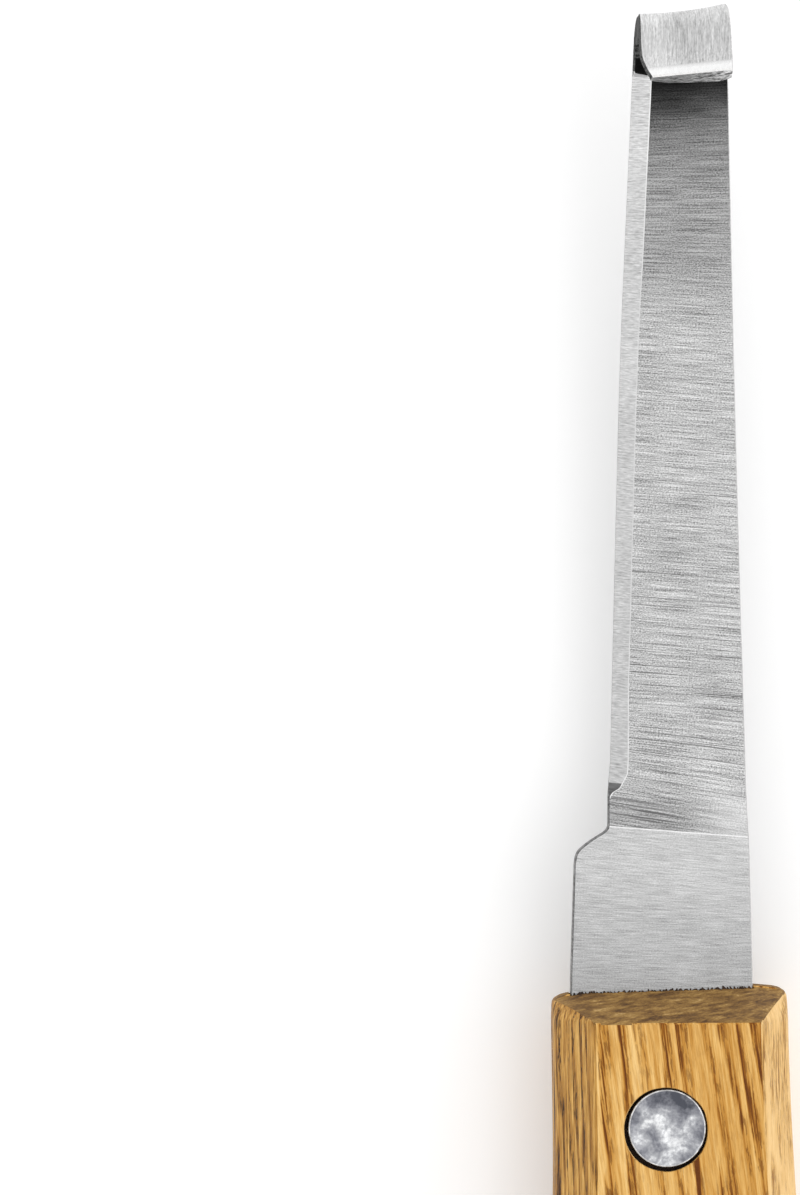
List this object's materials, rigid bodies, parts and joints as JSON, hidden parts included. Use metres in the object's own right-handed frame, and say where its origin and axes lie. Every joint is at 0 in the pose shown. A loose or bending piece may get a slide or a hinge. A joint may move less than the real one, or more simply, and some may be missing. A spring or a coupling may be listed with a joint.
{
  "type": "hoof knife",
  "caption": "Right-hand hoof knife: gently bowed ground steel blade with a cutting-edge bevel and a hooked end, and a chamfered ash handle of riveted scales.",
  "frame": {"origin": "the middle of the flat back of the handle, on the surface the knife lies on", "axes": "+Y along the knife from the butt to the hook, +X from the cutting edge to the spine, +Z from the handle's back to its front, the side the hook curls to"},
  "size_m": [0.0268, 0.2171, 0.024],
  "materials": {
    "blade_steel": "brushed across the blade, bright ground edge bevel",
    "handle_wood": "oiled ash with brown grain streaks",
    "rivet_steel": "dull grey, slightly dished heads with a thin bright rim"
  },
  "bodies": {
    "root": {"blade": "blade_steel", "front_scale": "handle_wood", "back_scale": "handle_wood", "front_rivet_socket": "rivet_steel", "middle_rivet_socket": "rivet_steel", "rear_rivet_socket": "rivet_steel", "front_rivet_pin": "rivet_steel", "middle_rivet_pin": "rivet_steel", "rear_rivet_pin": "rivet_steel"}
  },
  "joints": []
}
